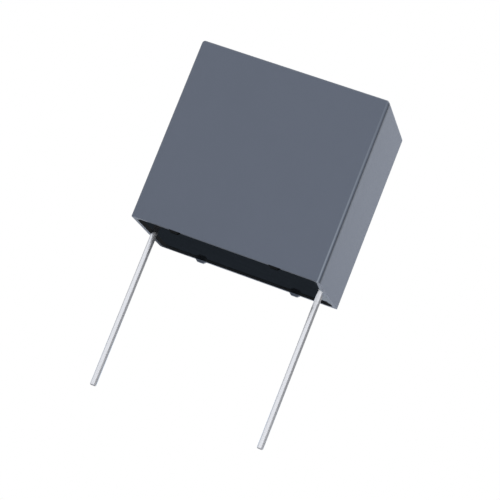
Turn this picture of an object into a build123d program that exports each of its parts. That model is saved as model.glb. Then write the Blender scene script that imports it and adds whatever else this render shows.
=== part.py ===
from build123d import *
import os

# Boxed polyester film capacitor with two straight leads for a printed board.
#
# Frame: millimetres. The origin is on the board's surface, midway between
# the two leads. +X runs along the lead pitch, +Z up through the case, and
# -Y is the broad face in front. The case stands on four small nubs at Z = 0
# and the leads go down through the board.

# Leads of tinned copper, at a standard pitch that the case is sized around
lead_pitch = 27.5
lead_diameter = 1.0
lead_drop = 24.5              # from the board's surface down to the tip
lead_tip_chamfer = 0.12
lead_wall_gap = 0.25          # resin between a lead and the end wall beside it
weld_length = 15.0            # how far a lead runs up the sprayed end
pressed_thickness = 0.7       # of the lead along X, where it lies on the sprayed end
pressed_width = 1.1           # along Y
pressed_corner_radius = 0.2

# Case
case_depth = 20.3             # along Y
case_height = 28.9            # rim to top, without the nubs
side_wall = 0.6
top_wall = 0.8
edge_radius = 0.5             # upright edges and top edges, outside
cavity_corner_radius = 1.0    # upright corners of the cavity
cavity_roof_radius = 0.5      # where the cavity walls meet its roof
cavity_draft = 0.15           # degrees, so that the case leaves its mould

# Standoff nubs, moulded on the rim of the two broad walls
nub_height = 0.35
nub_base = 1.8                # along X, at the rim
nub_tip = 1.0                 # along X, where it meets the board
nub_spacing = 16.0            # between the nubs of one wall

# Potting resin in the mouth of the case
rim_gap = 0.04                # from the rim up to the edge of the resin
pool_drop = 0.2               # from the edge of the resin up to its flat pool
creep_width = 0.9             # how far from the wall the resin climbs

# Ribs inside the broad walls, which hold the roll in the middle
rib_width = 0.8               # along X
rib_spacing = 14.0
rib_roll_gap = 0.1            # from a rib to the flat side of the roll

# Flattened roll of metallised film
roll_side_gap = 0.9           # from the roll to a broad wall
roll_top_gap = 0.6            # resin between the roll and the cavity roof
roll_bottom_gap = 3.0         # from the rim up to the roll

# Metal sprayed on both ends of the roll
spray_thickness = 0.45
spray_lip = 0.15              # how far it wraps over the edge of the roll
spray_wrap = 0.5              # how far along the roll the wrapped lip reaches

# Levels
rim_z = nub_height
roof_z = rim_z + case_height - top_wall
roll_bottom_z = rim_z + roll_bottom_gap
roll_top_z = roof_z - roll_top_gap
lead_top_z = roll_bottom_z + weld_length

# Case, cavity and roll
cavity_length = lead_pitch + lead_diameter + 2 * lead_wall_gap
case_length = cavity_length + 2 * side_wall
cavity_depth = case_depth - 2 * side_wall
spray_face_x = (lead_pitch - pressed_thickness) / 2
roll_length = 2 * (spray_face_x - spray_thickness)
roll_thickness = cavity_depth - 2 * roll_side_gap
roll_height = roll_top_z - roll_bottom_z
roll_centre_z = (roll_top_z + roll_bottom_z) / 2


def cavity_outline(z, inset=0.0):
    """Outline of the mouth at height z, or the same outline drawn inwards."""
    radius = cavity_corner_radius
    return Plane.XY.offset(z) * RectangleRounded(
        cavity_length - 2 * inset, cavity_depth - 2 * inset, radius
    )


def cavity_solid():
    """Space inside the case, from the rim to the roof, narrowing upwards."""
    space = extrude(cavity_outline(rim_z), amount=roof_z - rim_z, taper=cavity_draft)
    roof = space.faces().sort_by(Axis.Z)[-1]
    return fillet(roof.edges(), radius=cavity_roof_radius)


def roll_outline(growth=0.0):
    """Racetrack section of the roll, standing upright in the YZ plane."""
    return Rot(0, 90, 0) * SlotOverall(roll_height + 2 * growth, roll_thickness + 2 * growth)


def roll_prism(x_start, length, growth=0.0):
    """The roll's section, or a slightly larger one, carried along X."""
    section = Pos(x_start, 0, roll_centre_z) * roll_outline(growth)
    return extrude(section, amount=length, dir=(1, 0, 0))


def make_ribs():
    """Upright ribs from the roof of the cavity down to the foot of the roll."""
    reach = roll_side_gap - rib_roll_gap + side_wall / 2
    rib = Box(
        rib_width, reach, roof_z + top_wall / 2 - roll_bottom_z,
        align=(Align.CENTER, Align.MIN, Align.MIN),
    )
    ribs = []
    for side_x in (-rib_spacing / 2, rib_spacing / 2):
        front = Pos(side_x, -cavity_depth / 2 - side_wall / 2, roll_bottom_z) * rib
        ribs += [front, mirror(front, about=Plane.XZ)]
    return ribs


def make_case(space, ribs):
    """Moulded box, open below, with its nubs on the rim and its ribs inside."""
    block = extrude(
        Plane.XY.offset(rim_z) * RectangleRounded(case_length, case_depth, edge_radius),
        amount=case_height,
    )
    top = block.faces().sort_by(Axis.Z)[-1]
    block = fillet(top.edges(), radius=edge_radius)
    shell = block - space
    for rib in ribs:
        shell = shell + rib

    profile = Plane.XZ * Polygon(
        (-nub_base / 2, rim_z),
        (-nub_tip / 2, 0),
        (nub_tip / 2, 0),
        (nub_base / 2, rim_z),
        align=None,
    )
    nub = extrude(profile, amount=side_wall / 2, both=True)
    wall_centre_y = (case_depth - side_wall) / 2
    for side_y in (-wall_centre_y, wall_centre_y):
        for side_x in (-nub_spacing / 2, nub_spacing / 2):
            shell = shell + Pos(side_x, side_y, 0) * nub
    return shell


def make_roll():
    """Film wound on a pin, taken off and pressed flat."""
    return roll_prism(-roll_length / 2, roll_length)


def make_spray(side, roll):
    """Sprayed contact: a plate on the end of the roll with a shallow wrapped lip."""
    thickness = spray_thickness + spray_wrap
    start = roll_length / 2 - spray_wrap
    if side < 0:
        start = -spray_face_x
    return roll_prism(start, thickness, spray_lip) - roll


def make_lead(side):
    """Straight wire, round below the board's surface and pressed flat at the weld."""
    wire = Cylinder(
        lead_diameter / 2, lead_drop, align=(Align.CENTER, Align.CENTER, Align.MAX)
    )
    tip = wire.edges().sort_by(Axis.Z)[0]
    wire = chamfer(tip, length=lead_tip_chamfer)

    flat_start_z = roll_bottom_z - 2 * spray_lip
    flat_outline = Pos(0, 0, flat_start_z) * RectangleRounded(
        pressed_thickness, pressed_width, pressed_corner_radius
    )
    shoulder = loft([Circle(lead_diameter / 2), flat_outline])
    flat = extrude(flat_outline, amount=lead_top_z - flat_start_z)
    return Pos(side * lead_pitch / 2, 0, 0) * (wire + shoulder + flat)


def make_resin(space, pieces_inside):
    """Potting that fills the case and climbs a little where it meets the wall."""
    edge_z = rim_z + rim_gap
    below = Pos(0, 0, edge_z) * Box(
        2 * case_length, 2 * case_depth, case_height,
        align=(Align.CENTER, Align.CENTER, Align.MAX),
    )
    pool = loft(
        [cavity_outline(edge_z), cavity_outline(edge_z + pool_drop, creep_width)],
        ruled=True,
    )
    filling = space - below - pool
    for piece in pieces_inside:
        filling = filling - piece
    return filling


space = cavity_solid()
roll = make_roll()
spray_left = make_spray(-1, roll)
spray_right = make_spray(1, roll)
lead_left = make_lead(-1)
lead_right = make_lead(1)
ribs = make_ribs()
case = make_case(space, ribs)
pieces_in_resin = [roll, spray_left, spray_right, lead_left, lead_right] + ribs
resin = make_resin(space, pieces_in_resin)

nodes = {
    "case": case,
    "potting_resin": resin,
    "film_roll": roll,
    "end_spray_left": spray_left,
    "end_spray_right": spray_right,
    "lead_left": lead_left,
    "lead_right": lead_right,
}

os.makedirs("parts", exist_ok=True)
for name, solid in nodes.items():
    solid.label = name
    export_step(solid, f"parts/{name}.step")
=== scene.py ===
import math

import bpy
from mathutils import Matrix, Vector


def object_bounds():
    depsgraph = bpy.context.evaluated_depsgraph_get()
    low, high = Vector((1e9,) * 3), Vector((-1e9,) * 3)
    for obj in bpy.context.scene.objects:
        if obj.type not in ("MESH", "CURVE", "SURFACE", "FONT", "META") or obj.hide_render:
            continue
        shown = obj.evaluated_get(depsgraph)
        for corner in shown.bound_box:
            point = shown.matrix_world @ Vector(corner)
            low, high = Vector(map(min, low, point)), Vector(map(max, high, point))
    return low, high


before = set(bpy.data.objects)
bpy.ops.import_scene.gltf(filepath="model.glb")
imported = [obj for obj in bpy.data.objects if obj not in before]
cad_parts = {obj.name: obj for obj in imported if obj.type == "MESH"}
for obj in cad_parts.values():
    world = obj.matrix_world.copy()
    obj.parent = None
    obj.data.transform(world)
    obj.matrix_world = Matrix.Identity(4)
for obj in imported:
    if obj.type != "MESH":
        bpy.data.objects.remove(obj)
cad_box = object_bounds()

# Boxed polyester film capacitor, seen from a little below, so that the black
# potting in its mouth and the two tinned leads show.

MM = 0.001


# Colours and nodes


def srgb(code):
    """Linear colour of a #rrggbb code."""
    values = [int(code[i:i + 2], 16) / 255 for i in (1, 3, 5)]
    linear = [v / 12.92 if v <= 0.04045 else ((v + 0.055) / 1.055) ** 2.4 for v in values]
    return (*linear, 1.0)


def add_node(tree, kind, inputs=None, **settings):
    """Adds a node. An input is given a value, or the socket that feeds it."""
    node = tree.nodes.new(kind)
    for name, value in settings.items():
        setattr(node, name, value)
    for name, value in (inputs or {}).items():
        if isinstance(value, bpy.types.NodeSocket):
            tree.links.new(value, node.inputs[name])
        else:
            node.inputs[name].default_value = value
    return node


def start_material(name):
    """An empty node material, and its tree."""
    material = bpy.data.materials.new(name)
    material.use_nodes = True
    material.node_tree.nodes.clear()
    return material, material.node_tree


def finish_material(tree, inputs):
    """Ends a material with a Principled surface that has these inputs."""
    skin = add_node(tree, "ShaderNodeBsdfPrincipled", inputs)
    add_node(tree, "ShaderNodeOutputMaterial", {"Surface": skin.outputs["BSDF"]})


def maths(tree, operation, *values):
    """A Math node on numbers or sockets."""
    node = add_node(tree, "ShaderNodeMath", dict(enumerate(values)), operation=operation)
    return node.outputs["Value"]


def product(tree, first, *others):
    """Numbers or sockets, all multiplied."""
    total = first
    for factor in others:
        total = maths(tree, "MULTIPLY", total, factor)
    return total


def distance_from(tree, value, middle):
    """How far value is from a middle, on either side of it."""
    return maths(tree, "ABSOLUTE", maths(tree, "SUBTRACT", value, middle))


def fade(tree, value, none, full):
    """A factor that eases from 0 where value is none to 1 where it is full."""
    node = add_node(tree, "ShaderNodeMapRange", {
        "Value": value, "From Min": none, "From Max": full,
    }, interpolation_type="SMOOTHSTEP")
    return node.outputs["Result"]


def ramp(tree, value, span, result):
    """A number that goes evenly from end to end of result as value crosses span."""
    node = add_node(tree, "ShaderNodeMapRange", {
        "Value": value,
        "From Min": span[0], "From Max": span[1],
        "To Min": result[0], "To Max": result[1],
    })
    return node.outputs["Result"]


def blend(tree, factor, colour, other):
    """From one colour, where factor is 0, to the other, where it is 1."""
    node = add_node(tree, "ShaderNodeMix", {
        "Factor": factor, "A": colour, "B": other,
    }, data_type="RGBA")
    return node.outputs["Result"]


def per_mm(size):
    """Texture scale at which one feature of a pattern is size millimetres wide."""
    return 1 / (size * MM)


def noise(tree, place, size, detail, roughness=0.5):
    """Noise with features about size millimetres wide."""
    node = add_node(tree, "ShaderNodeTexNoise", {
        "Vector": place, "Scale": per_mm(size), "Detail": detail, "Roughness": roughness,
    })
    return node.outputs["Fac"]


def bump(tree, height, strength, depth):
    """A normal that follows height, over a depth in millimetres."""
    node = add_node(tree, "ShaderNodeBump", {
        "Height": height, "Strength": strength, "Distance": depth * MM,
    })
    return node.outputs["Normal"]


def place_in_mm(tree, place):
    """The three coordinates of place, in millimetres."""
    in_mm = add_node(tree, "ShaderNodeVectorMath", {
        0: place, "Scale": 1 / MM,
    }, operation="SCALE")
    axes = add_node(tree, "ShaderNodeSeparateXYZ", {"Vector": in_mm.outputs["Vector"]})
    return axes.outputs["X"], axes.outputs["Y"], axes.outputs["Z"]


# Materials. Marks on them are placed in millimetres in the part's own frame.

case_half_length = cad_box[1].x / MM
case_half_depth = cad_box[1].y / MM
case_top = cad_box[1].z / MM
rim_height = 0.35                  # above the board, which the nubs stand on
nub_half_width = 0.95              # along X, with the flanks
nub_offset = 8.0                   # from the middle of the case to a nub
lead_offset = 13.75                # from the middle of the case to a lead
buried_above = 1.0                 # the potting that is seen lies below this

front_rim_darkness = 0.55         # of the darkening, which is black at 1
rear_corner_darkness = 0.7
edge_shade_dulling = 0.4                 # share of its gloss that the painted edge shade loses


def moulded_pbt():
    """PBT, injection moulded in a spark-eroded tool: matt blue-grey, paler at low angles."""
    material, tree = start_material("moulded_pbt")
    place = add_node(tree, "ShaderNodeTexCoord").outputs["Object"]
    x, y, z = place_in_mm(tree, place)

    # Flow of the melt: cloudy patches some millimetres wide, hardly seen
    cloud = noise(tree, place, size=7.0, detail=3.0)
    melt = blend(tree, cloud, srgb("#646d7e"), srgb("#677081"))

    # The upright edge at the front right. Across runs from the front face
    # (below -0.5) round the edge to the right face (above 0.5), and
    # from_corner is how far a place on either face is from where they meet.
    across = maths(tree, "SUBTRACT", maths(tree, "ADD", x, y),
                   case_half_length - case_half_depth)
    from_corner = maths(tree, "SUBTRACT", case_half_length + case_half_depth,
                        maths(tree, "SUBTRACT", x, y))
    # A highlight is painted on it as a pale line, strongest low down
    painted_edge_highlight = product(tree,
                     fade(tree, distance_from(tree, across, -0.25), none=0.22, full=0.05),
                     fade(tree, from_corner, none=0.8, full=0.55),
                     ramp(tree, z, (rim_height, case_top), (1.07, 0.232)))
    highlighted_melt = blend(tree, painted_edge_highlight, melt, srgb("#949eac"))
    # Beside that line shade is painted as a dark line, and the painted shade runs out softly
    # on the right face
    painted_edge_shade = product(tree,
                     fade(tree, across, none=0.0, full=0.3),
                     fade(tree, from_corner, none=1.8, full=0.1),
                     fade(tree, z, none=case_top, full=case_top - 0.5))
    shaded_melt = blend(tree, painted_edge_shade, highlighted_melt, srgb("#454d59"))

    # The two nubs in front are black, and the front rim and the rear left corner
    # of the rim are darkened part way.
    from_nub = distance_from(tree, maths(tree, "ABSOLUTE", x), nub_offset)
    on_nub = maths(tree, "LESS_THAN", from_nub, nub_half_width)
    front_rim_dark = product(tree,
                         fade(tree, x, none=-13.0, full=-12.0),
                         fade(tree, x, none=14.7, full=14.4),
                         front_rim_darkness)
    front_marks = product(tree,
                          maths(tree, "MAXIMUM", on_nub, front_rim_dark),
                          maths(tree, "LESS_THAN", y, 1.0 - case_half_depth))
    rear_corner_dark = product(tree,
                        fade(tree, x, none=-9.5, full=-10.5),
                        fade(tree, y, none=3.5, full=4.5),
                        rear_corner_darkness)
    darkened_rim = product(tree,
                     maths(tree, "MAXIMUM", front_marks, rear_corner_dark),
                     maths(tree, "LESS_THAN", z, rim_height + 0.01))
    colour = blend(tree, darkened_rim, shaded_melt, srgb("#1e2022"))

    # Metallic with a black tint only takes the grey gloss off the dark marks and the painted
    # edge shade
    dulled = maths(tree, "MAXIMUM", darkened_rim, product(tree, painted_edge_shade, edge_shade_dulling))
    edge_tint = blend(tree, dulled, srgb("#ffffff"), srgb("#000000"))

    # Eroded grain, about 0.15 mm in the tool, drawn at 0.3 mm so that it shows
    grain = noise(tree, place, size=0.3, detail=2.0, roughness=0.6)
    finish_material(tree, {
        "Base Color": colour,
        "Metallic": dulled,
        "Specular Tint": edge_tint,
        "Roughness": ramp(tree, grain, (0.0, 1.0), (0.46, 0.56)),
        "IOR": 1.5,
        "Normal": bump(tree, grain, strength=0.15, depth=0.03),
    })
    return material


def cured_epoxy():
    """Epoxy, poured and cured in the mouth of the case: black, with a soft gloss."""
    material, tree = start_material("cured_epoxy")
    place = add_node(tree, "ShaderNodeTexCoord").outputs["Object"]
    x, y, z = place_in_mm(tree, place)
    on_surface = maths(tree, "LESS_THAN", z, buried_above)

    # Filler settles a little unevenly and greys the black in soft patches
    filler = noise(tree, place, size=2.5, detail=4.0, roughness=0.6)
    black = blend(tree, filler, srgb("#07080a"), srgb("#16191d"))

    # Grey skin of the case's plastic beside the right wall: nothing at the
    # front corner, wider up to the lead, and widest and ragged behind it
    straight_edge = ramp(tree, y, (-9.3, 0.0), (14.5, 13.7))
    ragged = noise(tree, place, size=1.6, detail=2.0)
    widening = product(tree,
                       ramp(tree, y, (0.0, 9.0), (0.0, 1.8)),
                       maths(tree, "ADD", ragged, 0.5))
    inside = maths(tree, "ADD", maths(tree, "SUBTRACT", x, straight_edge), widening)
    far_end = maths(tree, "ADD", y, product(tree, ragged, 2.4))
    beside_wall = product(tree,
                          fade(tree, inside, none=-0.1, full=0.1),
                          fade(tree, far_end, none=8.8, full=8.3))
    # A little of it in the front left corner too
    into_corner = product(tree, maths(tree, "ADD", x, y), -1.0)
    in_corner = fade(tree, into_corner, none=22.5, full=22.7)
    skinned = product(tree, maths(tree, "MAXIMUM", beside_wall, in_corner), on_surface)
    skinned_black = blend(tree, skinned, black, srgb("#8d949e"))

    # Bright tin, run out a little in front of the right lead
    from_lead = distance_from(tree, x, lead_offset + 0.15)
    tinned = product(tree,
                     fade(tree, from_lead, none=0.4, full=0.25),
                     fade(tree, y, none=-2.0, full=-1.4),
                     fade(tree, y, none=0.2, full=0.0),
                     on_surface)

    wave = noise(tree, place, size=5.0, detail=1.0)
    finish_material(tree, {
        "Base Color": blend(tree, tinned, skinned_black, srgb("#eceef2")),
        "Roughness": 0.5,
        "Specular IOR Level": 0.0,
        "Coat Weight": 0.03,
        "Coat Roughness": 0.08,
        "Coat Normal": bump(tree, wave, strength=0.3, depth=0.05),
    })
    return material


def tinned_copper():
    """Copper wire, drawn and hot-dipped in tin: bright, faintly streaked lengthwise."""
    material, tree = start_material("tinned_copper")
    place = add_node(tree, "ShaderNodeTexCoord").outputs["Object"]
    # Drawn out along the wire, the noise makes streaks
    along = add_node(tree, "ShaderNodeMapping", {
        "Vector": place, "Scale": (1.0, 1.0, 0.03),
    })
    streak = noise(tree, along.outputs["Vector"], size=0.25, detail=1.0)

    # Tin flares a little where the potting holds the right lead, and is bright
    # there, but not on the side that faces the end wall
    x, y, z = place_in_mm(tree, place)
    flare = product(tree,
                    fade(tree, z, none=-2.1, full=1.5),
                    maths(tree, "GREATER_THAN", x, 0.0))
    outward = maths(tree, "ADD", maths(tree, "SUBTRACT", x, lead_offset),
                    product(tree, y, 0.25))
    off_wall_side = fade(tree, outward, none=0.3, full=0.1)
    finish_material(tree, {
        "Base Color": srgb("#e8eaf0"),
        "Metallic": 1.0,
        "Roughness": ramp(tree, streak, (0.0, 1.0), (0.26, 0.30)),
        "Normal": bump(tree, flare, strength=off_wall_side, depth=0.55),
    })
    return material


def metallised_film():
    """Polyester film with a thin aluminium coat, wound: silver-grey bands at its ends."""
    material, tree = start_material("metallised_film")
    place = add_node(tree, "ShaderNodeTexCoord").outputs["Object"]
    # Layers a few microns thick, drawn 2.5 mm apart so that they show. A wave
    # texture repeats 3.2 times in the width that its scale gives.
    layers = add_node(tree, "ShaderNodeTexWave", {
        "Vector": place, "Scale": per_mm(8.0), "Distortion": 0.4,
    }, bands_direction="Y")
    finish_material(tree, {
        "Base Color": blend(tree, layers.outputs["Fac"], srgb("#b9bbbd"), srgb("#cfd1d3")),
        "Metallic": 0.6,
        "Roughness": 0.3,
    })
    return material


def sprayed_zinc():
    """Zinc, flame sprayed on the ends of the roll: dull grey and grainy."""
    material, tree = start_material("sprayed_zinc")
    place = add_node(tree, "ShaderNodeTexCoord").outputs["Object"]
    drops = add_node(tree, "ShaderNodeTexVoronoi", {
        "Vector": place, "Scale": per_mm(0.25),
    }).outputs["Distance"]
    finish_material(tree, {
        "Base Color": blend(tree, drops, srgb("#a4a5a3"), srgb("#84858a")),
        "Metallic": 0.8,
        "Roughness": 0.65,
        "Normal": bump(tree, drops, strength=0.6, depth=0.06),
    })
    return material


case_plastic = moulded_pbt()
potting = cured_epoxy()
wire = tinned_copper()
film = metallised_film()
zinc = sprayed_zinc()

node_finishes = {
    "case": case_plastic,
    "potting_resin": potting,
    "film_roll": film,
    "end_spray_left": zinc,
    "end_spray_right": zinc,
    "lead_left": wire,
    "lead_right": wire,
}
for name, material in node_finishes.items():
    piece_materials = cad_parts[name].data.materials
    piece_materials.clear()
    piece_materials.append(material)


# Camera, fitted to the edges of the case and the leads in the photograph

camera_place = Vector((70.934, -279.213, -40.210)) * MM
camera_right = Vector((0.914938, 0.171956, 0.365130))
camera_up = Vector((-0.324784, -0.223369, 0.919033))
camera_back = Vector((0.239592, -0.959446, -0.148520))

camera_data = bpy.data.cameras.new("camera")
camera_data.sensor_width = 36
camera_data.lens = 138.607
camera_data.clip_start = 0.01
camera = bpy.data.objects.new("camera", camera_data)
turn = Matrix((camera_right, camera_up, camera_back)).transposed()
camera.matrix_world = Matrix.Translation(camera_place) @ turn.to_4x4()
bpy.context.scene.collection.objects.link(camera)
bpy.context.scene.camera = camera
bpy.context.scene.view_settings.view_transform = "Standard"


# Stage and light, in metres

floor_z = cad_box[0].z
floor_reach = 1.5
camera_turn = math.atan2(camera_back.x, -camera_back.y)
screen_step = math.radians(5)      # turn from one upright of a screen to the next


def stage_sheet(name, corners, faces, material):
    """A sheet for the stage, made of four-sided faces."""
    mesh = bpy.data.meshes.new(name)
    mesh.from_pydata(corners, [], faces)
    mesh.materials.append(material)
    sheet = bpy.data.objects.new(name, mesh)
    bpy.context.scene.collection.objects.link(sheet)
    return sheet


def floor_paint():
    """Matt white paint on the floor, with nothing to see from below.

    Far from the object the camera sees through it to the white backdrop, so
    that no horizon shows.
    """
    material, tree = start_material("floor_paint")
    paint = add_node(tree, "ShaderNodeBsdfPrincipled", {
        "Base Color": srgb("#f7f7f7"), "Roughness": 0.9, "Specular IOR Level": 0.0,
    })
    clear = add_node(tree, "ShaderNodeBsdfTransparent")
    below = add_node(tree, "ShaderNodeNewGeometry").outputs["Backfacing"]
    place = add_node(tree, "ShaderNodeTexCoord").outputs["Object"]
    distance = add_node(tree, "ShaderNodeVectorMath", {0: place}, operation="LENGTH")
    far = fade(tree, distance.outputs["Value"], none=0.07, full=0.22)
    camera_ray = add_node(tree, "ShaderNodeLightPath").outputs["Is Camera Ray"]
    unseen = maths(tree, "MAXIMUM", below, product(tree, far, camera_ray))
    mix = add_node(tree, "ShaderNodeMixShader", {
        0: unseen, 1: paint.outputs["BSDF"], 2: clear.outputs["BSDF"],
    })
    add_node(tree, "ShaderNodeOutputMaterial", {"Surface": mix.outputs["Shader"]})
    return material


def lit_paper(name, colour, level):
    """Paper of a studio screen, lit from behind to a set level."""
    material, tree = start_material(name)
    glow = add_node(tree, "ShaderNodeEmission", {"Color": srgb(colour), "Strength": level})
    add_node(tree, "ShaderNodeOutputMaterial", {"Surface": glow.outputs["Emission"]})
    return material


def screen(name, radius, turns, heights, colour, level):
    """An upright screen on a ring around the object, which only the gloss sees.

    Its turns are degrees from the camera's side of the object to the right.
    """
    start, end = (camera_turn + math.radians(turn) for turn in turns)
    count = math.ceil((end - start) / screen_step)
    corners = []
    for i in range(count + 1):
        turn = start + (end - start) * i / count
        for height in heights:
            corners.append((math.sin(turn) * radius, -math.cos(turn) * radius, height))
    faces = [(2 * i, 2 * i + 2, 2 * i + 3, 2 * i + 1) for i in range(count)]
    sheet = stage_sheet(name, corners, faces, lit_paper(name, colour, level))
    sheet.visible_camera = False
    sheet.visible_diffuse = False
    sheet.visible_shadow = False


floor_corners = [(x * floor_reach, y * floor_reach, floor_z)
                 for x, y in ((-1, -1), (1, -1), (1, 1), (-1, 1))]
stage_sheet("floor", floor_corners, [(0, 1, 2, 3)], floor_paint())

# Grey on the left edge of each lead, white in its middle and a dark band on
# its right, which also darkens the upright edge of the case
screen("left_screen", radius=0.42, turns=(-150, -95), heights=(floor_z, 0.4),
       colour="#ffffff", level=0.54)
screen("dark_screen", radius=0.42, turns=(31, 136), heights=(floor_z, 0.4),
       colour="#ffffff", level=0.24)
# The right face mirrors what is far right behind it, darker at its foot
screen("side_screen", radius=0.20, turns=(136, 178), heights=(floor_z, 0.034),
       colour="#ffffff", level=0.55)
# The potting mirrors what is low behind the case, just above the floor
screen("low_screen", radius=0.13, turns=(140, 220), heights=(floor_z + 0.0005, -0.004),
       colour="#bad2ed", level=1.2)


def soft_lamp(name, place, target, size, level):
    """A square lamp that adds level to a white surface facing it at the target."""
    data = bpy.data.lights.new(name, "AREA")
    data.size = size
    data.energy = level * math.pi ** 2 * (place - target).length ** 2
    lamp = bpy.data.objects.new(name, data)
    lamp.location = place
    lamp.rotation_mode = "QUATERNION"
    lamp.rotation_quaternion = (target - place).to_track_quat("-Z", "Y")
    bpy.context.scene.collection.objects.link(lamp)


middle = (cad_box[0] + cad_box[1]) / 2
soft_lamp("key", place=Vector((0.14, 0.17, 0.26)), target=middle, size=0.2, level=0.58)

# The camera and the gloss see a white backdrop, and a softer fill lights the
# matt surfaces
world = bpy.data.worlds.new("studio")
bpy.context.scene.world = world
world.use_nodes = True
air = world.node_tree
air.nodes.clear()
rays = add_node(air, "ShaderNodeLightPath")
seen = maths(air, "MAXIMUM", rays.outputs["Is Camera Ray"], rays.outputs["Is Glossy Ray"])
seen = maths(air, "MAXIMUM", seen, rays.outputs["Is Transmission Ray"])
fill = add_node(air, "ShaderNodeBackground", {
    "Color": srgb("#ffffff"), "Strength": 0.66,
})
backdrop = add_node(air, "ShaderNodeBackground", {
    "Color": srgb("#ffffff"), "Strength": 1.0,
})
sky = add_node(air, "ShaderNodeMixShader", {
    0: seen, 1: fill.outputs["Background"], 2: backdrop.outputs["Background"],
})
add_node(air, "ShaderNodeOutputWorld", {"Surface": sky.outputs["Shader"]})
